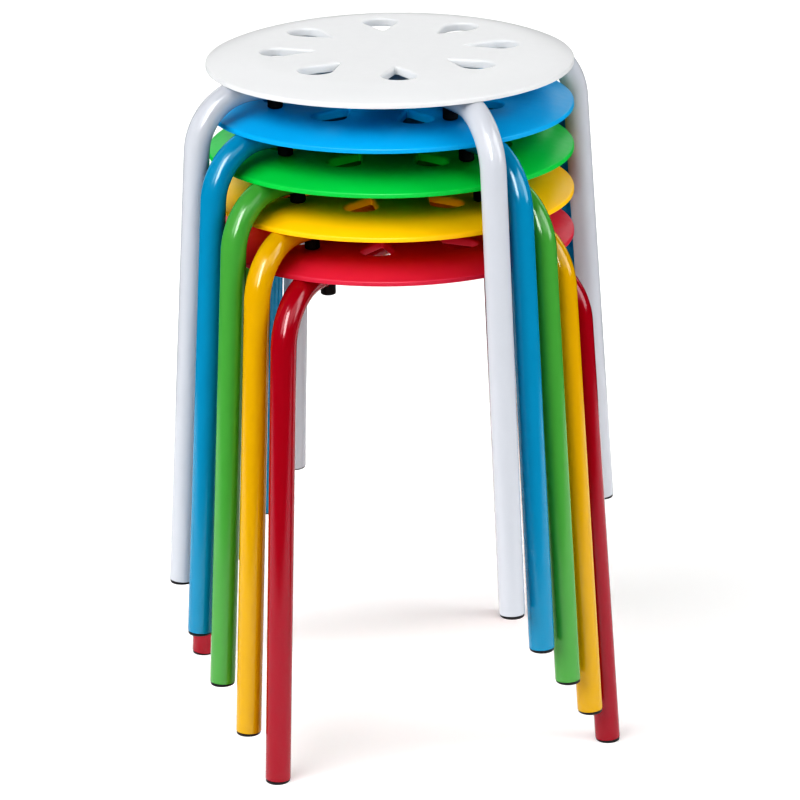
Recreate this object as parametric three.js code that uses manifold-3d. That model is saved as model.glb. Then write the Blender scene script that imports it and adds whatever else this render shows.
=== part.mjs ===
// A nest of five round stacking stools, one set down over another and turned a little each time.
// Each stool is a moulded seat on two bent steel tubes that cross under it, with four end
// plugs as feet and four bumper pads that land on the seat of the stool below.
// Lengths are millimetres, angles are radians, and +Z is up. The origin is on the floor,
// in the middle under the nest.

import * as THREE from 'three';
import { mergeVertices, toCreasedNormals } from 'three/addons/utils/BufferGeometryUtils.js';
import Module from 'manifold-3d';

const wasm = await Module();
wasm.setup();

const radians = THREE.MathUtils.degToRad;

// Sizes of one stool
const STOOL_HEIGHT = 451;
const SEAT_DIAMETER = 317;
const LEG_SPLAY = radians(4.1);

// Sizes of the steel tube
const TUBE_DIAMETER = 22;
const TUBE_WALL = 1;
const BEND_RADIUS = 52;
const CROSSING_SLOPE = radians(35);

// Sizes of the moulded seat
const SEAT_THICKNESS = 3;
const RIM_DROP = 8.3;
const LIP_HEIGHT = 4.4;
const LIP_THICKNESS = 2.5;
const LIP_BEVEL = 1;
const FLAT_MARGIN = 1.5;

// Sizes of the teardrop holes in the seat
const HOLE_COUNT = 8;
const HOLE_LENGTH = 47;
const HOLE_WIDTH = 29;
const HOLE_INSET = 7;
const COLLAR_WALL = 2;
const COLLAR_DEPTH = 4.4;

// Sizes of the bumper pads, of their studs, and of the seat bosses that the studs screw into.
// The cover is the plastic left over the end of a stud's thread.
const PAD_DIAMETER = 13;
const PAD_HEIGHT = 8.6;
const PAD_BEVEL = 1.5;
const PAD_INSET = 22.5;
const STUD_DIAMETER = 5;
const THREAD_COVER = 1.7;
const BOSS_DIAMETER = 14;
const BOSS_HEIGHT = 4;

// Sizes of the end plugs
const PLUG_CAP = 2;
const PLUG_STEM_LENGTH = 16;

// Gaps between pieces, and the overrun of a cut past what it cuts
const FIT_GAP = 0.3;
const OVERRUN = 5;

// Gaps in the nest, and how the middle stool stands: its legs are on the diagonals
const NEST_RIM_GAP = 5.8;
const NEST_LEG_GAP = 4.2;
const MIDDLE_TURN = radians(225);

// Edges that bend less than this are shaded as one smooth face
const CREASE_ANGLE = radians(32);

// Numbers of flat sides and steps
const TUBE_SIDES = 12;
const BORE_SIDES = 8;
const BEND_STEPS = 4;
const SEAT_SIDES = 36;
const RIM_STEPS = 2;
const HOLE_END_STEPS = 6;
const PAD_SIDES = 8;
const DRILL_SIDES = 6;

// Stools from the floor up
const STOOLS = [
  { name: 'red', seat: 0xd71e2d, tube: 0xac001a },
  { name: 'yellow', seat: 0xfacb1e, tube: 0xf5b90c },
  { name: 'green', seat: 0x0ac83c, tube: 0x55b44b },
  { name: 'blue', seat: 0x00a5eb, tube: 0x1991c8 },
  { name: 'white', seat: 0xf0f0f0, tube: 0xdadee6 },
];
const CORNERS = ['front_left', 'front_right', 'back_right', 'back_left'];
const BLACK_PLASTIC = 0x0c0c0d;
const BLACK_RUBBER = 0x101011;

// Heights of one stool, worked out from the seat down
const quarterTurn = Math.PI / 2;
const fullTurn = 2 * Math.PI;
const seatRadius = SEAT_DIAMETER / 2;
const tubeRadius = TUBE_DIAMETER / 2;
const boreRadius = tubeRadius - TUBE_WALL;
const seatUnderside = STOOL_HEIGHT - SEAT_THICKNESS;
const bossFoot = seatUnderside - BOSS_HEIGHT;
const tubeAxisHeight = bossFoot - FIT_GAP - tubeRadius;
const padFootHeight = tubeAxisHeight - tubeRadius - PAD_HEIGHT;
const rimTopHeight = STOOL_HEIGHT - RIM_DROP;
const lipBottomHeight = rimTopHeight - LIP_HEIGHT;
const nestPitch = STOOL_HEIGHT + FIT_GAP - padFootHeight;

// The bends stand far enough out for a tube to pass the rim of the stool below
const bendCentreHeight = tubeAxisHeight - BEND_RADIUS;
const rimBelowRise = rimTopHeight - nestPitch - bendCentreHeight;
const rimBelowReach = BEND_RADIUS - tubeRadius - NEST_RIM_GAP;
const bendStart = seatRadius - Math.sqrt(rimBelowReach ** 2 - rimBelowRise ** 2);
const legTopRadius = bendStart + BEND_RADIUS * Math.cos(LEG_SPLAY);
const legTopHeight = bendCentreHeight + BEND_RADIUS * Math.sin(LEG_SPLAY);
const bendAngle = quarterTurn - LEG_SPLAY;
const tubeLegLength = legTopHeight / Math.cos(LEG_SPLAY) - PLUG_CAP;

// Each stool is turned until its legs stand beside those of the stool below
const legSpacing = TUBE_DIAMETER + NEST_LEG_GAP;
const nestTurn = 2 * Math.asin(legSpacing / 2 / legTopRadius);
const firstTurn = MIDDLE_TURN + (nestTurn * (STOOLS.length - 1)) / 2;

// Places on the seat, measured from its middle
const padCircle = bendStart - PAD_INSET;
const padRadius = PAD_DIAMETER / 2;
const threadTop = STOOL_HEIGHT - THREAD_COVER;
const studHoleRadius = STUD_DIAMETER / 2 + FIT_GAP;
const flatRadius = padCircle + padRadius + FLAT_MARGIN;
const holeEndRadius = HOLE_WIDTH / 2;
const holeEndCentre = flatRadius - HOLE_INSET - holeEndRadius;
const holeTip = holeEndCentre + holeEndRadius - HOLE_LENGTH;

// A closed solid from a closed mesh, without the empty triangles at a lathe's axis
function toSolid(geometry) {
  const bare = geometry.clone();
  bare.deleteAttribute('normal');
  bare.deleteAttribute('uv');
  const merged = mergeVertices(bare);
  const corners = [];
  for (let first = 0; first < merged.index.count; first += 3) {
    const [a, b, c] = merged.index.array.slice(first, first + 3);
    if (a !== b && b !== c && c !== a) corners.push(a, b, c);
  }
  const mesh = new wasm.Mesh({
    numProp: 3,
    vertProperties: merged.attributes.position.array,
    triVerts: Uint32Array.from(corners),
  });
  return new wasm.Manifold(mesh);
}

// The mesh of a solid, with soft shading over its shallow edges only
function toGeometry(solid) {
  const mesh = solid.getMesh();
  const geometry = new THREE.BufferGeometry();
  geometry.setAttribute('position', new THREE.BufferAttribute(mesh.vertProperties, 3));
  geometry.setIndex(new THREE.BufferAttribute(mesh.triVerts, 1));
  return toCreasedNormals(geometry, CREASE_ANGLE);
}

// A turned solid about Z from a profile of [radius, height] that runs from the bottom up
function lathe(profile, sides) {
  const points = profile.map(([radius, height]) => new THREE.Vector2(radius, height));
  return new THREE.LatheGeometry(points, sides).rotateX(quarterTurn);
}

// An upright bar from one height to another, drawn inside its round outline
function bar(radius, low, high) {
  return lathe([[0, low], [radius, low], [radius, high], [0, high]], DRILL_SIDES);
}

// An upright hole or boss, drawn outside its round outline so that a bar clears it
function drill(radius, low, high) {
  return bar(radius / Math.cos(Math.PI / DRILL_SIDES), low, high);
}

// A round section with a few flat sides
function polygon(radius, sides) {
  const points = [];
  for (let side = 0; side < sides; side += 1) {
    const angle = (side / sides) * fullTurn;
    points.push(new THREE.Vector2(radius * Math.cos(angle), radius * Math.sin(angle)));
  }
  return new THREE.Shape(points);
}

// The middle line of one bent tube in the XZ plane: leg, bend, level run, bend, leg.
// It has one station for each section of the tube, so the straight runs need no more.
class TubePath extends THREE.Curve {
  constructor(overrun) {
    super();
    const legEnd = tubeLegLength + overrun;
    const half = [];
    for (let step = 0; step <= BEND_STEPS; step += 1) {
      const angle = (step / BEND_STEPS) * bendAngle;
      half.push({
        x: bendStart + BEND_RADIUS * Math.sin(angle),
        z: bendCentreHeight + BEND_RADIUS * Math.cos(angle),
        angle,
      });
    }
    half.push({
      x: legTopRadius + legEnd * Math.sin(LEG_SPLAY),
      z: legTopHeight - legEnd * Math.cos(LEG_SPLAY),
      angle: bendAngle,
    });
    const mirrored = half.map(({ x, z, angle }) => ({ x: -x, z, angle: -angle }));
    this.stations = [...mirrored.reverse(), ...half];
  }

  station(share) {
    return this.stations[Math.round(share * (this.stations.length - 1))];
  }

  getPointAt(share) {
    const { x, z } = this.station(share);
    return new THREE.Vector3(x, 0, z);
  }

  getTangentAt(share) {
    const { angle } = this.station(share);
    return new THREE.Vector3(Math.cos(angle), 0, -Math.sin(angle));
  }
}

// A bar along the tube's route, with its own thickness and end overrun
function bentBar(radius, sides, overrun) {
  const path = new TubePath(overrun);
  return new THREE.ExtrudeGeometry(polygon(radius, sides), {
    steps: path.stations.length - 1,
    extrudePath: path,
    bevelEnabled: false,
  });
}

// What is pressed out of the upper half of a tube where the other tube crosses it
function crossingDent(wall) {
  const floor = -FIT_GAP / 2 - wall;
  const top = tubeRadius + OVERRUN;
  const floorHalf = tubeRadius + FIT_GAP + wall;
  const topHalf = floorHalf + (top - floor) * Math.tan(CROSSING_SLOPE);
  const outline = new THREE.Shape([
    new THREE.Vector2(-floorHalf, floor),
    new THREE.Vector2(floorHalf, floor),
    new THREE.Vector2(topHalf, top),
    new THREE.Vector2(-topHalf, top),
  ]);
  const width = TUBE_DIAMETER + 2 * OVERRUN;
  const geometry = new THREE.ExtrudeGeometry(outline, { depth: width, bevelEnabled: false });
  return geometry.translate(0, 0, -width / 2).rotateX(quarterTurn);
}

// One bent tube along X. The tube that passes over has its dent from below.
function makeTube(passesOver) {
  const flip = passesOver ? Math.PI : 0;
  const place = (dent) => toSolid(dent.rotateX(flip).translate(0, 0, tubeAxisHeight));
  const body = toSolid(bentBar(tubeRadius, TUBE_SIDES, 0));
  const bore = toSolid(bentBar(boreRadius, BORE_SIDES, OVERRUN));
  let tube = body.subtract(place(crossingDent(0)));
  tube = tube.subtract(bore.subtract(place(crossingDent(TUBE_WALL))));
  const tubeTop = tubeAxisHeight + tubeRadius + OVERRUN;
  const tubeBottom = tubeAxisHeight - tubeRadius - OVERRUN;
  for (const side of [-1, 1]) {
    const studHole = drill(studHoleRadius, tubeBottom, tubeTop);
    tube = tube.subtract(toSolid(studHole.translate(side * padCircle, 0, 0)));
  }
  return tube;
}

// A teardrop about the seat's X axis, its point towards the middle, grown by a margin
function teardrop(margin) {
  const endRadius = holeEndRadius + margin;
  const flank = Math.acos(holeEndRadius / (holeEndCentre - holeTip));
  const tip = holeEndCentre - endRadius / Math.cos(flank);
  const points = [new THREE.Vector2(tip, 0)];
  const sweep = fullTurn - 2 * flank;
  for (let step = 0; step <= HOLE_END_STEPS; step += 1) {
    const angle = (step / HOLE_END_STEPS) * sweep - sweep / 2;
    const x = holeEndCentre + endRadius * Math.cos(angle);
    points.push(new THREE.Vector2(x, endRadius * Math.sin(angle)));
  }
  return new THREE.Shape(points);
}

// The outline of the shell from the underside out, round the lip, and back over the top
function seatProfile() {
  const rimRadius = seatRadius - LIP_BEVEL;
  const lipInside = seatRadius - LIP_THICKNESS;
  const curveRadius = ((rimRadius - flatRadius) ** 2 + RIM_DROP ** 2) / (2 * RIM_DROP);
  const fall = (radius, bend) => bend - Math.sqrt(bend ** 2 - (radius - flatRadius) ** 2);
  const top = [];
  const underside = [];
  for (let step = 0; step <= RIM_STEPS; step += 1) {
    const share = step / RIM_STEPS;
    const topRadius = flatRadius + share * (rimRadius - flatRadius);
    const underRadius = flatRadius + share * (lipInside - flatRadius);
    top.push([topRadius, STOOL_HEIGHT - fall(topRadius, curveRadius)]);
    underside.push([underRadius, seatUnderside - fall(underRadius, curveRadius)]);
  }
  return [
    [0, seatUnderside],
    ...underside,
    [lipInside, lipBottomHeight],
    [seatRadius, lipBottomHeight],
    [seatRadius, rimTopHeight - LIP_BEVEL],
    ...top.reverse(),
    [0, STOOL_HEIGHT],
  ];
}

// The seat: a shell with a lip, cleared where the tubes pass under the lip, with a collar
// round each hole and a boss over each stud
function makeSeat() {
  let seat = toSolid(lathe(seatProfile(), SEAT_SIDES));
  for (const turn of [0, quarterTurn]) {
    seat = seat.subtract(toSolid(bentBar(tubeRadius + FIT_GAP, TUBE_SIDES, 0).rotateZ(turn)));
  }
  const shellMiddle = STOOL_HEIGHT - SEAT_THICKNESS / 2;
  const collarLow = seatUnderside - COLLAR_DEPTH;
  const collar = new THREE.ExtrudeGeometry(teardrop(COLLAR_WALL), {
    depth: shellMiddle - collarLow,
    bevelEnabled: false,
  }).translate(0, 0, collarLow);
  const hole = new THREE.ExtrudeGeometry(teardrop(0), {
    depth: STOOL_HEIGHT - collarLow + 2 * OVERRUN,
    bevelEnabled: false,
  }).translate(0, 0, collarLow - OVERRUN);
  const holeStep = fullTurn / HOLE_COUNT;
  for (let index = 0; index < HOLE_COUNT; index += 1) {
    const angle = index * holeStep + holeStep / 2;
    seat = seat.add(toSolid(collar.clone().rotateZ(angle)));
    seat = seat.subtract(toSolid(hole.clone().rotateZ(angle)));
  }
  const boss = drill(BOSS_DIAMETER / 2, bossFoot, shellMiddle).translate(padCircle, 0, 0);
  const thread = drill(studHoleRadius, bossFoot - OVERRUN, threadTop);
  thread.translate(padCircle, 0, 0);
  for (const corner of CORNERS.keys()) {
    const angle = corner * quarterTurn;
    seat = seat.add(toSolid(boss.clone().rotateZ(angle)));
    seat = seat.subtract(toSolid(thread.clone().rotateZ(angle)));
  }
  return seat;
}

// A pad under the tube, hollowed to fit round it, with the stud that goes up through the tube
function makePad() {
  const saddleTop = tubeAxisHeight - Math.sqrt(tubeRadius ** 2 - padRadius ** 2);
  const cutter = toSolid(bentBar(tubeRadius + FIT_GAP, TUBE_SIDES, 0));
  const body = toSolid(lathe([
    [0, padFootHeight],
    [padRadius - PAD_BEVEL, padFootHeight],
    [padRadius, padFootHeight + PAD_BEVEL],
    [padRadius, saddleTop],
    [0, saddleTop],
  ], PAD_SIDES).translate(padCircle, 0, 0)).subtract(cutter);
  const studLow = padFootHeight + PAD_HEIGHT / 2;
  const stud = bar(STUD_DIAMETER / 2, studLow, threadTop - FIT_GAP);
  return body.add(toSolid(stud.translate(padCircle, 0, 0)));
}

// An end plug: a stem in the bore of the leg under a cap that is cut flat on the floor
function makePlug() {
  const stemRadius = boreRadius * Math.cos(Math.PI / BORE_SIDES) - FIT_GAP;
  const legEndRadius = legTopRadius + tubeLegLength * Math.sin(LEG_SPLAY);
  const legEndHeight = legTopHeight - tubeLegLength * Math.cos(LEG_SPLAY);
  const capLow = -PLUG_CAP - tubeRadius * Math.tan(LEG_SPLAY) - OVERRUN;
  const plug = lathe([
    [0, capLow],
    [tubeRadius, capLow],
    [tubeRadius, -FIT_GAP],
    [stemRadius, -FIT_GAP],
    [stemRadius, PLUG_STEM_LENGTH],
    [0, PLUG_STEM_LENGTH],
  ], TUBE_SIDES).rotateY(-LEG_SPLAY).translate(legEndRadius, 0, legEndHeight);
  const width = TUBE_DIAMETER + 2 * OVERRUN;
  const depth = PLUG_CAP + 2 * OVERRUN;
  const floor = new THREE.BoxGeometry(width, width, depth);
  floor.translate(legEndRadius, 0, -depth / 2);
  return toSolid(plug).subtract(toSolid(floor));
}

const seatGeometry = toGeometry(makeSeat());
const lowerTubeGeometry = toGeometry(makeTube(false));
const upperTubeGeometry = toGeometry(makeTube(true));
const padGeometry = toGeometry(makePad());
const plugGeometry = toGeometry(makePlug());

function addPiece(group, name, geometry, material, turn) {
  const mesh = new THREE.Mesh(geometry, material);
  mesh.name = name;
  mesh.rotation.z = turn;
  group.add(mesh);
}

// One stool with its first leg along X
function makeStool({ name, seat, tube }) {
  const stool = new THREE.Group();
  const plastic = new THREE.MeshStandardMaterial({ color: seat, roughness: 0.4, metalness: 0 });
  const paint = new THREE.MeshStandardMaterial({ color: tube, roughness: 0.25, metalness: 0.1 });
  const foot = new THREE.MeshStandardMaterial({
    color: BLACK_PLASTIC,
    roughness: 0.5,
    metalness: 0,
  });
  const rubber = new THREE.MeshStandardMaterial({
    color: BLACK_RUBBER,
    roughness: 0.8,
    metalness: 0,
  });
  addPiece(stool, `${name}_seat`, seatGeometry, plastic, 0);
  addPiece(stool, `${name}_lower_tube`, lowerTubeGeometry, paint, 0);
  addPiece(stool, `${name}_upper_tube`, upperTubeGeometry, paint, quarterTurn);
  CORNERS.forEach((corner, index) => {
    addPiece(stool, `${name}_pad_${corner}`, padGeometry, rubber, index * quarterTurn);
    addPiece(stool, `${name}_foot_${corner}`, plugGeometry, foot, index * quarterTurn);
  });
  return stool;
}

const nest = new THREE.Group();
STOOLS.forEach((colours, level) => {
  const stool = makeStool(colours);
  stool.position.z = level * nestPitch;
  stool.rotation.z = firstTurn - level * nestTurn;
  nest.add(stool);
});

export default nest;
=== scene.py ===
"""A nest of five round stacking stools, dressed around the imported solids.

Lengths here are millimetres, and meshes, lights and the camera are made in metres. Every piece
is modelled once in the frame of one stool, whose first leg is along X and whose origin is on
the floor, and is then placed in each stool.
"""

import math

import bmesh
import bpy
import numpy as np
from mathutils import Matrix, Vector


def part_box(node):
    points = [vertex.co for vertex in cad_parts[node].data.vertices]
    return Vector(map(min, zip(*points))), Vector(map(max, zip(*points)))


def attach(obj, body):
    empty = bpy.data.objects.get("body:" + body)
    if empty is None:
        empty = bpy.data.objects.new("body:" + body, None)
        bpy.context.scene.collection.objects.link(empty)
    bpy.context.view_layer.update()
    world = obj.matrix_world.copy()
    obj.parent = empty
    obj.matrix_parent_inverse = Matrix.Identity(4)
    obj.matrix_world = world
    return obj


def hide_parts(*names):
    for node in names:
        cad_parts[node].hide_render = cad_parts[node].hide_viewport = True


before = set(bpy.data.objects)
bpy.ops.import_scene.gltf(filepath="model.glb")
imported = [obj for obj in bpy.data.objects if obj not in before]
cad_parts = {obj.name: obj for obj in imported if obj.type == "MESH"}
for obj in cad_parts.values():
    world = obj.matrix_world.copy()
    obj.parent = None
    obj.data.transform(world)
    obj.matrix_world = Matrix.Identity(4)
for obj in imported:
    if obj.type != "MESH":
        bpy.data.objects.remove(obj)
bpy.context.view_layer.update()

MM = 0.001
FULL_TURN = 2 * math.pi
QUARTER_TURN = math.pi / 2

# Stools from the floor up, with the colours of the seat and of the tubes
STOOLS = {
    "red": (0xC82C44, 0x940A22),
    "yellow": (0xFFC114, 0xCA9A04),
    "green": (0x10BE48, 0x4C9542),
    "blue": (0x009DD8, 0x0E81A9),
    "white": (0xD5D6D7, 0xBCBFC6),
}
CORNERS = ("front_left", "front_right", "back_right", "back_left")
BLACK_PLASTIC = 0x111113
BLACK_RUBBER = 0x161617
PAPER_WHITE = 0xF6F6F6

# Sizes of the steel tube. The crossing is pressed flat, and its reach has closer steps.
TUBE_RADIUS = 11
BORE_RADIUS = 10
BEND_RADIUS = 52
LEG_SPLAY = math.radians(4.1)
CROSSING_SLOPE = math.radians(35)
CROSSING_ROUNDING = 3
CROSSING_REACH = 3 * TUBE_RADIUS
TUBE_END_ROUNDING = 0.9

# Sizes of the moulded seat. Narrow support rings keep the flat faces flat beside a rounding.
SEAT_THICKNESS = 3
RIM_DROP = 8.3
RIM_CORNER = 1
LIP_HEIGHT = 4.4
LIP_THICKNESS = 2.5
LIP_ROUNDING = 0.5
SUPPORT_WIDTH = 0.25

# Sizes of the teardrop holes and their collars
HOLE_COUNT = 8
HOLE_LENGTH = 47
HOLE_WIDTH = 29
HOLE_INSET = 7
HOLE_TIP_RADIUS = 1.3
HOLE_EDGE_ROUNDING = 2.2
COLLAR_WALL = 2
COLLAR_DEPTH = 4.4
COLLAR_ROUNDING = 0.6

# Sizes of the bumper pads, of their studs and of the bosses over them. The dimple in a pad's
# foot is given by the radius and height of its rings. The drill for a stud's hole reaches past
# both sides of the tube, and the seat is flat to a margin outside the pads.
PAD_RADIUS = 6.5
PAD_HEIGHT = 8.6
PAD_ROUNDING = 1.5
PAD_DIMPLE = ((1.2, 0.8), (2.04, 0.6), (2.4, 0))
STUD_RADIUS = 2.5
STUD_CHAMFER = 0.5
THREAD_COVER = 1.7
DRILL_REACH = 2 * TUBE_RADIUS
BOSS_RADIUS = 7
BOSS_HEIGHT = 4
BOSS_ROUNDING = 0.4
FLAT_MARGIN = 1.5

# Sizes of the end plugs
PLUG_CAP = 2
PLUG_RADIUS = 10.6
PLUG_STEM_RADIUS = 9
PLUG_STEM_LENGTH = 16
PLUG_ROUNDING = 1.1

# The gap between pieces, and the distance under which two points are one
FIT_GAP = 0.3
MERGE_DISTANCE = 0.001

# Numbers of flat sides and steps
TUBE_SIDES = 48
CROSSING_STEPS = 22
RUN_STEPS = 6
BEND_STEPS = 28
LEG_STEPS = 11
SEAT_SIDES = 240
RIM_STEPS = 18
HOLE_END_STEPS = 40
HOLE_TIP_STEPS = 10
HOLE_FLANK_STEPS = 8
PAD_SIDES = 40
BOSS_SIDES = 36
ROUNDING_STEPS = 6
SHARP_ANGLE = math.radians(40)

# Finishes: moulded plastic with a soft sheen and a fine grain, glossy powder coat with the
# ripple of orange peel, satin plastic and dull rubber. A tint has the size and detail of its
# patches and how far their colour varies, and rough has the size and detail of its patches and
# the range of their roughness. Each layer of bumps has a size, a detail and a height. Most of
# a noise lies between the low and the high value.
NOISE_LOW = 0.3
NOISE_HIGH = 0.7
SEAT_FINISH = {
    "tint": (60, 2, 0.015),
    "rough": (9, 3, 0.36, 0.42),
    "bumps": ((1.2, 2, 0.002), (30, 1, 0.02)),
    "specular": 0.3,
}
TUBE_FINISH = {
    "tint": (40, 2, 0.015),
    "rough": (5, 3, 0.14, 0.18),
    "bumps": ((2.5, 2, 0.004),),
    "specular": 0.5,
}
PLUG_FINISH = {
    "tint": (4, 3, 0.25),
    "rough": (2, 3, 0.45, 0.6),
    "bumps": ((0.5, 2, 0.02),),
    "specular": 0.5,
}
PAD_FINISH = {
    "tint": (3, 3, 0.3),
    "rough": (1.5, 3, 0.6, 0.75),
    "bumps": ((0.4, 3, 0.03),),
    "specular": 0.5,
}

# The camera, in the frame of the nest
CAMERA_AT = (89.1, -3200.0, 1394.2)
CAMERA_TURN = math.radians(1.52)
CAMERA_PITCH = math.radians(19.14)
CAMERA_ROLL = math.radians(-0.92)
CAMERA_REACH = 100000
SENSOR_WIDTH = 36
FOCAL_LENGTH = 171.92

# The floor and the backdrop, and how much light of their own they give
FLOOR_SIDES = 96
NEAR_FLOOR_DEPTH = 850
NEAR_FLOOR_STRETCH = 1.7
FLOOR_RADIUS = 3500
FLOOR_GLOW = 0.21
BACKDROP_RADIUS = 25000
BACKDROP_GLOW = 1
SURROUND_GLOW = 0.02

# The softboxes: each one's bearing from +Y towards +X, height, width and tallness in degrees,
# and how bright it is. A wash gives light but no reflection, and a highlight box the opposite.
LIGHT_DISTANCE = 8000
LIGHT_AIM = (0, 0, 450)
SOFTBOXES = {
    "right_box": (102, 26, 30, 40, 5.5),
    "right_front": (135, 32, 30, 30, 2),
    "back_panel": (10, 22, 80, 26, 1.4),
    "front_fill": (175, 35, 40, 20, 1.7),
}
WASHES = {"left_panel": (-125, 38, 64, 48, 4.6)}
HIGHLIGHT_BOXES = {
    "front_box": (-177, 31, 18, 34, 17),
    "left_glow": (-150, 38, 14, 40, 4.5),
}

# How dark the picture's shadows are drawn, and where its tone curve is pinned. The last of
# Blender's four curves is the one for all channels.
TOE = 0.09
TONES = (0.01, 0.02, 0.04, 0.08, 0.16, 0.35, 0.65)
ALL_CHANNELS = 3


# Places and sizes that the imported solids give


def reach(node):
    """How far a node goes from the middle of the nest."""
    return max(math.hypot(v.co.x, v.co.y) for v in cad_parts[node].data.vertices) / MM


def middle(node):
    low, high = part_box(node)
    return (low + high) / 2 / MM


def distance_out(node):
    spot = middle(node)
    return math.hypot(spot.x, spot.y)


STOOL_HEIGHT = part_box("red_seat")[1].z / MM
SEAT_RADIUS = reach("red_seat")
PAD_CIRCLE = distance_out("red_pad_front_left")
FOOT_CIRCLE = distance_out("red_foot_front_left")

SEAT_UNDERSIDE = STOOL_HEIGHT - SEAT_THICKNESS
BOSS_FOOT = SEAT_UNDERSIDE - BOSS_HEIGHT
TUBE_AXIS = BOSS_FOOT - FIT_GAP - TUBE_RADIUS
PAD_FOOT = TUBE_AXIS - TUBE_RADIUS - PAD_HEIGHT
THREAD_TOP = STOOL_HEIGHT - THREAD_COVER
STUD_HOLE_RADIUS = STUD_RADIUS + FIT_GAP
RIM_TOP = STOOL_HEIGHT - RIM_DROP
LIP_BOTTOM = RIM_TOP - LIP_HEIGHT
BEND_CENTRE = TUBE_AXIS - BEND_RADIUS
BEND_ANGLE = QUARTER_TURN - LEG_SPLAY
LEG_TOP = BEND_CENTRE + BEND_RADIUS * math.sin(LEG_SPLAY)
LEG_LENGTH = LEG_TOP / math.cos(LEG_SPLAY)
BEND_START = FOOT_CIRCLE - BEND_RADIUS * math.cos(LEG_SPLAY) - LEG_TOP * math.tan(LEG_SPLAY)
FLAT_RADIUS = PAD_CIRCLE + PAD_RADIUS + FLAT_MARGIN
HOLE_END_RADIUS = HOLE_WIDTH / 2
HOLE_END_CENTRE = FLAT_RADIUS - HOLE_INSET - HOLE_END_RADIUS
HOLE_TIP = HOLE_END_CENTRE + HOLE_END_RADIUS - HOLE_LENGTH


# Meshes


def circle(radius, height, sides, centre=0):
    turns = [FULL_TURN * side / sides for side in range(sides)]
    return [(centre + radius * math.cos(turn), radius * math.sin(turn), height) for turn in turns]


def quarter():
    """Turns of a quarter round, from 0 to a right angle."""
    return [QUARTER_TURN * step / ROUNDING_STEPS for step in range(ROUNDING_STEPS + 1)]


def rounding(radius):
    """Points of a quarter round, from where it leaves one side to where it meets the next.

    Each point is given as its distance in from the first side and from the second.
    """
    return [(radius * (1 - math.cos(turn)), radius * (1 - math.sin(turn))) for turn in quarter()]


def add_rings(work, rings, close_rows=False, cap_first=False, cap_last=False):
    """Adds faces through closed rings of points, and returns the first and last rings' vertices."""
    verts = [[work.verts.new(point) for point in ring] for ring in rings]
    rows, columns = len(rings), len(rings[0])
    for row in range(rows if close_rows else rows - 1):
        here, above = verts[row], verts[(row + 1) % rows]
        for column in range(columns):
            beside = (column + 1) % columns
            work.faces.new((here[column], here[beside], above[beside], above[column]))
    if cap_first:
        work.faces.new(verts[0])
    if cap_last:
        work.faces.new(verts[-1])
    return verts[0], verts[-1]


def ring_work(rings, close_rows=False, cap_ends=False):
    """A bmesh through closed rings of points."""
    work = bmesh.new()
    add_rings(work, rings, close_rows, cap_ends, cap_ends)
    return work


def fill_between(work, loops):
    """Fills the flat area between closed loops of vertices."""
    edges = [
        work.edges.get((vert, beside))
        for loop in loops
        for vert, beside in zip(loop, loop[1:] + loop[:1])
    ]
    bmesh.ops.triangle_fill(work, use_beauty=True, use_dissolve=False, edges=edges)


def to_mesh(name, work):
    """A smooth mesh in metres from a bmesh in millimetres, which it frees."""
    bmesh.ops.remove_doubles(work, verts=work.verts, dist=MERGE_DISTANCE)
    bmesh.ops.recalc_face_normals(work, faces=work.faces)
    if work.calc_volume(signed=True) < 0:
        bmesh.ops.reverse_faces(work, faces=work.faces)
    bmesh.ops.scale(work, vec=(MM, MM, MM), verts=work.verts)
    mesh = bpy.data.meshes.new(name)
    work.to_mesh(mesh)
    work.free()
    mesh.shade_smooth()
    mesh.set_sharp_from_angle(angle=SHARP_ANGLE)
    return mesh


# The bent tube


def tube_stations():
    """The middle line of a tube along X as (x, height, slope), and the end of its far leg."""
    crossing = np.linspace(0, CROSSING_REACH, CROSSING_STEPS + 1)
    run = np.linspace(CROSSING_REACH, BEND_START, RUN_STEPS + 1)[1:-1]
    half = [(x, TUBE_AXIS, 0) for x in (*crossing, *run)]
    for step in range(BEND_STEPS + 1):
        slope = BEND_ANGLE * step / BEND_STEPS
        x = BEND_START + BEND_RADIUS * math.sin(slope)
        half.append((x, BEND_CENTRE + BEND_RADIUS * math.cos(slope), slope))
    leg_x, leg_z, slope = half[-1]

    def down_leg(along):
        return leg_x + along * math.sin(LEG_SPLAY), leg_z - along * math.cos(LEG_SPLAY), slope

    leg_length = LEG_LENGTH - PLUG_CAP
    for along in np.linspace(0, leg_length - TUBE_END_ROUNDING, LEG_STEPS + 1)[1:]:
        half.append(down_leg(along))
    mirrored = [(-x, z, -slope) for x, z, slope in half[:0:-1]]
    return mirrored + half, down_leg(leg_length)


def soft_least(a, b, blend):
    """The smaller of two heights, rounded where they cross."""
    share = min(max(0.5 + 0.5 * (b - a) / blend, 0), 1)
    return b + (a - b) * share - blend * share * (1 - share)


def pressed(x, rise, wall):
    """Height over the middle line of a tube, pressed down where the other tube crosses it."""
    floor_half = TUBE_RADIUS + FIT_GAP + wall
    floor = -FIT_GAP / 2 - wall
    floor += max(abs(x) - floor_half, 0) * math.tan(CROSSING_SLOPE)
    return soft_least(rise, floor, CROSSING_ROUNDING)


def tube_ring(station, radius, wall, flip):
    """A ring about the middle line, pressed at the crossing from above, or below if flip is -1."""
    x, z, slope = station
    ring = []
    for side in range(TUBE_SIDES):
        turn = FULL_TURN * side / TUBE_SIDES
        rise = radius * math.cos(turn)
        point_x = x + rise * math.sin(slope)
        if slope == 0:
            point_z = z + flip * pressed(x, flip * rise, wall)
        else:
            point_z = z + rise * math.cos(slope)
        ring.append((point_x, radius * math.sin(turn), point_z))
    return ring


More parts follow.
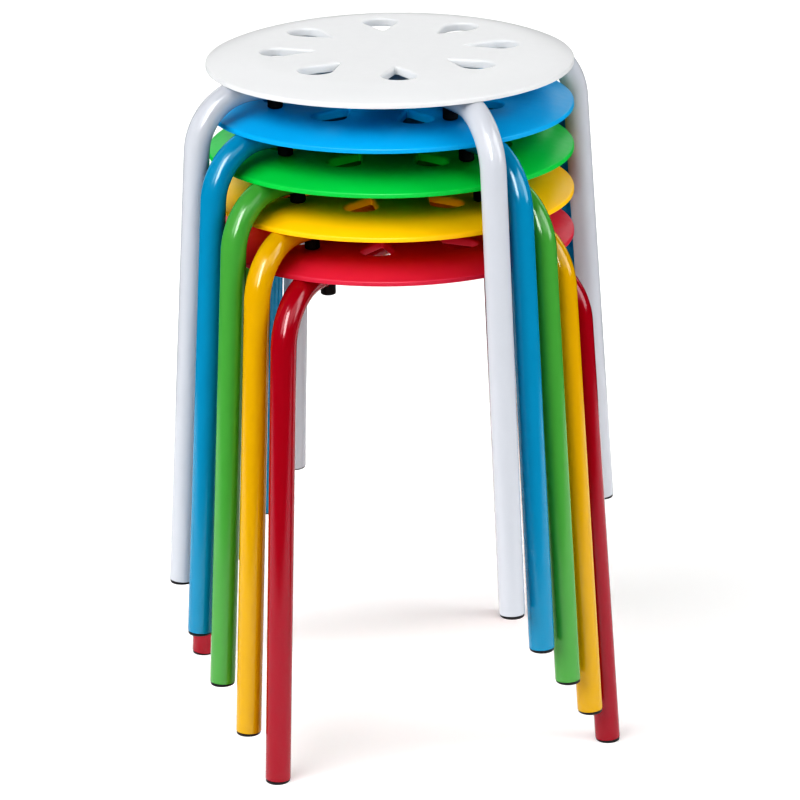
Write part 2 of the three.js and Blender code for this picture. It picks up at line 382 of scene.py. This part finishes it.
def along_leg(end, radius, back):
    """A ring near a leg's end, the given distance back up the leg."""
    x, z, slope = end
    sign = math.copysign(1, x)
    station = (x - sign * back * math.sin(LEG_SPLAY), z + back * math.cos(LEG_SPLAY), slope)
    return tube_ring(station, radius, 0, 1)


def rounded_end(end):
    """Rings round the open end of a tube, from its outside to its bore."""
    rings = [
        along_leg(end, TUBE_RADIUS - inset, back)
        for inset, back in rounding(TUBE_END_ROUNDING)[1:]
    ]
    return rings + [along_leg(end, BORE_RADIUS, 0)]


def tube_work(passes_over):
    """A hollow bent tube. The one that passes over is pressed in from below."""
    flip = -1 if passes_over else 1
    stations, end = tube_stations()
    far_end = (-end[0], end[1], -end[2])
    wall = TUBE_RADIUS - BORE_RADIUS
    outside = [tube_ring(station, TUBE_RADIUS, 0, flip) for station in stations]
    bore = [tube_ring(station, BORE_RADIUS, wall, flip) for station in stations]
    rings = outside + rounded_end(end) + bore[::-1] + rounded_end(far_end)[::-1]
    return ring_work(rings, close_rows=True)


def drilled(name, mesh):
    """The mesh with a hole through it at each stud."""
    cutter = bmesh.new()
    for side in (-1, 1):
        ends = [
            circle(STUD_HOLE_RADIUS, TUBE_AXIS + rise, BOSS_SIDES, side * PAD_CIRCLE)
            for rise in (-DRILL_REACH, DRILL_REACH)
        ]
        add_rings(cutter, ends, cap_first=True, cap_last=True)
    drill = bpy.data.objects.new("drill", to_mesh("drill", cutter))
    body = bpy.data.objects.new(name, mesh)
    for thing in (drill, body):
        bpy.context.scene.collection.objects.link(thing)
    cut = body.modifiers.new("studs", "BOOLEAN")
    cut.operation = "DIFFERENCE"
    cut.solver = "EXACT"
    cut.object = drill
    bpy.context.view_layer.update()
    graph = bpy.context.evaluated_depsgraph_get()
    result = bpy.data.meshes.new_from_object(body.evaluated_get(graph))
    bpy.data.objects.remove(body)
    bpy.data.objects.remove(drill)
    result.name = name
    result.set_sharp_from_angle(angle=SHARP_ANGLE)
    return result


# The moulded seat


def teardrop(grow, height, turn):
    """A teardrop with a rounded tip, grown by a margin, turned about the middle of the seat."""
    flank = math.acos(HOLE_END_RADIUS / (HOLE_END_CENTRE - HOLE_TIP))
    tip_centre = HOLE_TIP + HOLE_TIP_RADIUS / math.cos(flank)
    outline = []

    def on(centre, radius, angle):
        return centre + radius * math.cos(angle), radius * math.sin(angle)

    def arc(centre, radius, first, last, steps):
        for step in range(steps):
            outline.append(on(centre, radius, first + (last - first) * step / (steps - 1)))

    def straight(first, last):
        for step in range(1, HOLE_FLANK_STEPS):
            share = step / HOLE_FLANK_STEPS
            outline.append(tuple(a + (b - a) * share for a, b in zip(first, last)))

    end_radius = HOLE_END_RADIUS + grow
    tip_radius = HOLE_TIP_RADIUS + grow
    leave = math.pi - flank
    arc(HOLE_END_CENTRE, end_radius, -leave, leave, HOLE_END_STEPS)
    straight(on(HOLE_END_CENTRE, end_radius, leave), on(tip_centre, tip_radius, leave))
    arc(tip_centre, tip_radius, leave, FULL_TURN - leave, HOLE_TIP_STEPS)
    straight(on(tip_centre, tip_radius, -leave), on(HOLE_END_CENTRE, end_radius, -leave))
    c, s = math.cos(turn), math.sin(turn)
    return [(c * x - s * y, s * x + c * y, height) for x, y in outline]


def foot_profile(outside, bottom, small):
    """From the bottom edge of a collar or boss, round its outside and out to the underside."""
    profile = [(outside - inset, bottom + up) for up, inset in rounding(small)]
    profile += [(outside + out, SEAT_UNDERSIDE - down) for out, down in rounding(small)]
    profile.append((outside + small + SUPPORT_WIDTH, SEAT_UNDERSIDE))
    return profile


def hole_profile():
    """Margin and height down a hole's wall, round its collar and back to the underside."""
    edge, bottom = HOLE_EDGE_ROUNDING, SEAT_UNDERSIDE - COLLAR_DEPTH
    profile = [(edge + SUPPORT_WIDTH, STOOL_HEIGHT)]
    profile += [(out, STOOL_HEIGHT - down) for down, out in rounding(edge)]
    profile += [(out, bottom + up) for out, up in rounding(COLLAR_ROUNDING)]
    return profile + foot_profile(COLLAR_WALL, bottom, COLLAR_ROUNDING)


def boss_profile():
    """Radius and height from a boss's blind bore round its foot to the underside."""
    profile = [(STUD_HOLE_RADIUS, THREAD_TOP)]
    profile += [(STUD_HOLE_RADIUS + out, BOSS_FOOT + up) for out, up in rounding(BOSS_ROUNDING)]
    return profile + foot_profile(BOSS_RADIUS, BOSS_FOOT, BOSS_ROUNDING)


def rim_profile():
    """Radius and height from the flat top over the rim, round the lip and back underneath."""
    rim_radius = SEAT_RADIUS - RIM_CORNER
    across = rim_radius - FLAT_RADIUS
    curve = (across**2 + RIM_DROP**2) / (2 * RIM_DROP)
    lip_inside = SEAT_RADIUS - LIP_THICKNESS
    rim_slope = math.asin(across / curve)

    def fall(radius):
        return curve - math.sqrt(curve**2 - (radius - FLAT_RADIUS) ** 2)

    profile = [(FLAT_RADIUS - SUPPORT_WIDTH, STOOL_HEIGHT)]
    for radius in np.linspace(FLAT_RADIUS, rim_radius, RIM_STEPS + 1):
        profile.append((radius, STOOL_HEIGHT - fall(radius)))
    corner = RIM_CORNER / (1 - math.sin(rim_slope))
    for step in range(1, ROUNDING_STEPS + 1):
        slope = rim_slope + (QUARTER_TURN - rim_slope) * step / ROUNDING_STEPS
        out = corner * (math.sin(slope) - math.sin(rim_slope))
        down = corner * (math.cos(rim_slope) - math.cos(slope))
        profile.append((rim_radius + out, RIM_TOP - down))
    profile += [(SEAT_RADIUS - inset, LIP_BOTTOM + up) for inset, up in rounding(LIP_ROUNDING)]
    profile += [(lip_inside + inset, LIP_BOTTOM + up) for up, inset in rounding(LIP_ROUNDING)]
    for radius in np.linspace(lip_inside, FLAT_RADIUS, RIM_STEPS + 1):
        profile.append((radius, SEAT_UNDERSIDE - fall(radius)))
    profile.append((FLAT_RADIUS - SUPPORT_WIDTH, SEAT_UNDERSIDE))
    return profile


def over_tubes(point):
    """A point of the lip, raised where a tube passes closely under it."""
    x, y, z = point
    along, aside = (abs(x), abs(y)) if abs(x) > abs(y) else (abs(y), abs(x))
    clear_radius = TUBE_RADIUS + FIT_GAP
    if aside >= clear_radius:
        return point
    bend_reach = BEND_RADIUS + math.sqrt(clear_radius**2 - aside**2)
    past = max(along - BEND_START, 0)
    return x, y, max(z, BEND_CENTRE + math.sqrt(bend_reach**2 - past**2))


def seat_work():
    """The seat, whose top and underside are filled between its rim, its holes and its bosses."""
    work = bmesh.new()
    rim = [
        [over_tubes(point) for point in circle(radius, height, SEAT_SIDES)]
        for radius, height in rim_profile()
    ]
    first, last = add_rings(work, rim)
    on_top, underneath = [first], [last]
    for index in range(HOLE_COUNT):
        turn = FULL_TURN * (index + 0.5) / HOLE_COUNT
        wall = [teardrop(grow, height, turn) for grow, height in hole_profile()]
        first, last = add_rings(work, wall)
        on_top.append(first)
        underneath.append(last)
    for index in range(len(CORNERS)):
        turn = Matrix.Rotation(index * QUARTER_TURN, 3, "Z")
        boss = [
            [turn @ Vector(point) for point in circle(radius, height, BOSS_SIDES, PAD_CIRCLE)]
            for radius, height in boss_profile()
        ]
        underneath.append(add_rings(work, boss, cap_first=True)[1])
    fill_between(work, on_top)
    fill_between(work, underneath)
    return work


# The bumper pad and the end plug


def under_tube(point):
    """The height at which a point of the pad meets the underside of the tube."""
    return TUBE_AXIS - math.sqrt((TUBE_RADIUS + FIT_GAP) ** 2 - point[1] ** 2)


def pad_work():
    """A pad that fits round the underside of a tube, with its stud."""
    profile = [(radius, PAD_FOOT + up) for radius, up in PAD_DIMPLE]
    profile += [(PAD_RADIUS - inset, PAD_FOOT + up) for up, inset in rounding(PAD_ROUNDING)]
    rings = [circle(radius, height, PAD_SIDES, PAD_CIRCLE) for radius, height in profile]
    for radius in np.linspace(PAD_RADIUS, STUD_RADIUS, ROUNDING_STEPS + 1):
        flat = circle(radius, 0, PAD_SIDES, PAD_CIRCLE)
        rings.append([(x, y, under_tube((x, y))) for x, y, _ in flat])
    stud_top = THREAD_TOP - FIT_GAP
    for inset in (0, STUD_CHAMFER):
        height = stud_top - STUD_CHAMFER + inset
        rings.append(circle(STUD_RADIUS - inset, height, PAD_SIDES, PAD_CIRCLE))
    return ring_work(rings, cap_ends=True)


def plug_work():
    """A plug in a leg's bore, with a cap whose underside is cut level with the floor."""
    foot = Vector((FOOT_CIRCLE, 0, 0))
    down = Vector((math.sin(LEG_SPLAY), 0, -math.cos(LEG_SPLAY)))
    out = Vector((math.cos(LEG_SPLAY), 0, math.sin(LEG_SPLAY)))
    aside = Vector((0, 1, 0))

    def ring(radius, up):
        """A ring square to the leg, a distance up the leg from the floor."""
        turns = [FULL_TURN * side / PAD_SIDES for side in range(PAD_SIDES)]
        return [
            foot - down * up + radius * (math.cos(turn) * out + math.sin(turn) * aside)
            for turn in turns
        ]

    def level_ring(radius, height):
        """The same ring, slid along the leg until it is level."""
        return [point + down * ((point.z - height) / -down.z) for point in ring(radius, 0)]

    rings = [level_ring(PLUG_RADIUS / 2, 0)]
    rings += [level_ring(PLUG_RADIUS - inset, up) for up, inset in rounding(PLUG_ROUNDING)]
    cap_top = PLUG_CAP - FIT_GAP
    rings.append(ring(PLUG_RADIUS, cap_top))
    rings.append(ring(PLUG_STEM_RADIUS, cap_top))
    stem_top = PLUG_CAP + PLUG_STEM_LENGTH
    rings.append(ring(PLUG_STEM_RADIUS, stem_top - PLUG_ROUNDING))
    rings.append(ring(PLUG_STEM_RADIUS - PLUG_ROUNDING, stem_top))
    return ring_work(rings, cap_ends=True)


# Materials


def linear(colour):
    """The linear colour of an sRGB number such as 0xD71E2D."""
    channels = [(colour >> shift & 255) / 255 for shift in (16, 8, 0)]
    return [c / 12.92 if c <= 0.04045 else ((c + 0.055) / 1.055) ** 2.4 for c in channels] + [1]


def finish(name, colour, tint, rough, bumps, specular):
    """A procedural material with its noise in the space of the piece."""
    material = bpy.data.materials.new(name)
    material.use_nodes = True
    nodes, links = material.node_tree.nodes, material.node_tree.links
    shader = nodes["Principled BSDF"]
    shader.inputs["Specular IOR Level"].default_value = specular
    position = nodes.new("ShaderNodeTexCoord").outputs["Object"]

    def noise(size, detail):
        """Noise whose patches are about one size across."""
        node = nodes.new("ShaderNodeTexNoise")
        node.inputs["Scale"].default_value = 1 / (size * MM)
        node.inputs["Detail"].default_value = detail
        links.new(position, node.inputs["Vector"])
        return node.outputs["Fac"]

    size, detail, variation = tint
    base = linear(colour)[:3]
    mix = nodes.new("ShaderNodeMix")
    mix.data_type = "RGBA"
    mix.inputs["A"].default_value = [c * (1 - variation) for c in base] + [1]
    mix.inputs["B"].default_value = [min(c * (1 + variation), 1) for c in base] + [1]
    links.new(noise(size, detail), mix.inputs["Factor"])
    links.new(mix.outputs["Result"], shader.inputs["Base Color"])

    size, detail, smoothest, roughest = rough
    spread = nodes.new("ShaderNodeMapRange")
    spread.inputs["From Min"].default_value = NOISE_LOW
    spread.inputs["From Max"].default_value = NOISE_HIGH
    spread.inputs["To Min"].default_value = smoothest
    spread.inputs["To Max"].default_value = roughest
    links.new(noise(size, detail), spread.inputs["Value"])
    links.new(spread.outputs["Result"], shader.inputs["Roughness"])

    below = None
    for size, detail, height in bumps:
        bump = nodes.new("ShaderNodeBump")
        bump.inputs["Distance"].default_value = height * MM
        links.new(noise(size, detail), bump.inputs["Height"])
        if below:
            links.new(below, bump.inputs["Normal"])
        below = bump.outputs["Normal"]
    links.new(below, shader.inputs["Normal"])
    return material


def glowing(name, strength):
    """A matt white material that gives some light of its own."""
    material = bpy.data.materials.new(name)
    material.use_nodes = True
    shader = material.node_tree.nodes["Principled BSDF"]
    shader.inputs["Base Color"].default_value = linear(PAPER_WHITE)
    shader.inputs["Roughness"].default_value = 1
    shader.inputs["Specular IOR Level"].default_value = 0
    shader.inputs["Emission Color"].default_value = (1, 1, 1, 1)
    shader.inputs["Emission Strength"].default_value = strength
    return material


# Putting the stools together


def place(name, mesh, node, body, material, matrix):
    """A copy of a mesh, placed in its stool, that stands for one node."""
    copy = mesh.copy()
    copy.name = name
    copy.transform(matrix)
    copy.materials.clear()
    copy.materials.append(material)
    piece = bpy.data.objects.new(name, copy)
    bpy.context.scene.collection.objects.link(piece)
    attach(piece, body)
    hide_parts(node)


def make_stools():
    """The five stools, each lifted and turned as its solids are."""
    seat = to_mesh("seat", seat_work())
    lower_tube = drilled("lower_tube", to_mesh("lower_tube", tube_work(False)))
    upper_tube = drilled("upper_tube", to_mesh("upper_tube", tube_work(True)))
    pad = to_mesh("pad", pad_work())
    plug = to_mesh("plug", plug_work())
    plastic = finish("black_plastic", BLACK_PLASTIC, **PLUG_FINISH)
    rubber = finish("black_rubber", BLACK_RUBBER, **PAD_FINISH)
    for stool, (seat_colour, tube_colour) in STOOLS.items():
        body = f"{stool}_stool"
        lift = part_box(f"{stool}_seat")[1].z - STOOL_HEIGHT * MM
        first_leg = middle(f"{stool}_pad_front_left")
        turn = math.atan2(first_leg.y, first_leg.x)
        matrices = [
            Matrix.Translation((0, 0, lift)) @ Matrix.Rotation(turn + index * QUARTER_TURN, 4, "Z")
            for index in range(len(CORNERS))
        ]
        seat_slot, tube_slot = f"{stool}_seat_plastic", f"{stool}_frame_paint"
        moulded = finish(seat_slot, seat_colour, **SEAT_FINISH)
        paint = finish(tube_slot, tube_colour, **TUBE_FINISH)
        place(f"{stool}_shell", seat, f"{stool}_seat", body, moulded, matrices[0])
        for which, mesh, matrix in (
            ("lower", lower_tube, matrices[0]),
            ("upper", upper_tube, matrices[1]),
        ):
            node = f"{stool}_{which}_tube"
            place(f"{stool}_{which}_bent_tube", mesh, node, body, paint, matrix)
        for corner, matrix in zip(CORNERS, matrices):
            pad_node, foot_node = f"{stool}_pad_{corner}", f"{stool}_foot_{corner}"
            pad_name, plug_name = f"{stool}_bumper_{corner}", f"{stool}_plug_{corner}"
            place(pad_name, pad, pad_node, body, rubber, matrix)
            place(plug_name, plug, foot_node, body, plastic, matrix)


# Studio


def make_camera():
    data = bpy.data.cameras.new("camera")
    data.sensor_width = SENSOR_WIDTH
    data.lens = FOCAL_LENGTH
    data.clip_end = CAMERA_REACH * MM
    camera = bpy.data.objects.new("camera", data)
    bpy.context.scene.collection.objects.link(camera)
    turn = Matrix.Rotation(CAMERA_TURN, 4, "Z")
    tilt = Matrix.Rotation(QUARTER_TURN - CAMERA_PITCH, 4, "X")
    roll = Matrix.Rotation(CAMERA_ROLL, 4, "Z")
    camera.matrix_world = Matrix.Translation(Vector(CAMERA_AT) * MM) @ turn @ tilt @ roll
    bpy.context.scene.camera = camera


def stage_piece(name, rings, material):
    """A piece of the stage through rings of points, from the inside out or from the foot up."""
    thing = bpy.data.objects.new(name, to_mesh(name, ring_work(rings)))
    thing.data.materials.append(material)
    bpy.context.scene.collection.objects.link(thing)
    return thing


def make_floor():
    """A floor whose near part alone shows in gloss, and a backdrop that only the camera sees."""
    paper = glowing("floor_paper", FLOOR_GLOW)
    middle_point = circle(0, 0, FLOOR_SIDES)
    near = [(x * NEAR_FLOOR_STRETCH, y, z) for x, y, z in circle(NEAR_FLOOR_DEPTH, 0, FLOOR_SIDES)]
    edge = circle(FLOOR_RADIUS, 0, FLOOR_SIDES)
    stage_piece("floor", [middle_point, near], paper)
    stage_piece("floor_edge", [near, edge], paper).visible_glossy = False
    dome = [edge]
    for turn in quarter():
        radius, height = BACKDROP_RADIUS * math.cos(turn), BACKDROP_RADIUS * math.sin(turn)
        dome.append(circle(radius, height, FLOOR_SIDES))
    backdrop = stage_piece("backdrop", dome, glowing("backdrop_white", BACKDROP_GLOW))
    backdrop.visible_diffuse = False
    backdrop.visible_glossy = False
    backdrop.visible_shadow = False


def make_world():
    world = bpy.data.worlds.new("studio")
    world.use_nodes = True
    background = world.node_tree.nodes["Background"]
    background.inputs["Color"].default_value = (1, 1, 1, 1)
    background.inputs["Strength"].default_value = SURROUND_GLOW
    bpy.context.scene.world = world


def make_softbox(name, bearing, height, width, tall, brightness):
    """A softbox that faces the nest, as wide and tall as it looks from there in degrees."""
    bearing, height = math.radians(bearing), math.radians(height)
    data = bpy.data.lights.new(name, "AREA")
    data.shape = "RECTANGLE"
    data.size = 2 * LIGHT_DISTANCE * MM * math.tan(math.radians(width) / 2)
    data.size_y = 2 * LIGHT_DISTANCE * MM * math.tan(math.radians(tall) / 2)
    data.energy = brightness * math.pi * data.size * data.size_y
    light = bpy.data.objects.new(name, data)
    level = math.cos(height)
    toward = Vector((level * math.sin(bearing), level * math.cos(bearing), math.sin(height)))
    light.location = (Vector(LIGHT_AIM) + LIGHT_DISTANCE * toward) * MM
    light.rotation_euler = toward.to_track_quat("Z", "Y").to_euler()
    light.visible_camera = False
    bpy.context.scene.collection.objects.link(light)
    return light


def deepen_shadows():
    """Draws the dark tones darker and keeps white white, as the photograph does."""
    view = bpy.context.scene.view_settings
    view.view_transform = "Standard"
    view.use_curve_mapping = True
    curve = view.curve_mapping.curves[ALL_CHANNELS]
    for tone in TONES:
        curve.points.new(tone, tone**2 * (1 + TOE) / (tone + TOE))
    view.curve_mapping.update()


def make_studio():
    make_floor()
    make_world()
    for name, numbers in SOFTBOXES.items():
        make_softbox(name, *numbers)
    for name, numbers in WASHES.items():
        make_softbox(name, *numbers).visible_glossy = False
    for name, numbers in HIGHLIGHT_BOXES.items():
        make_softbox(name, *numbers).visible_diffuse = False
    deepen_shadows()


make_camera()
make_stools()
make_studio()
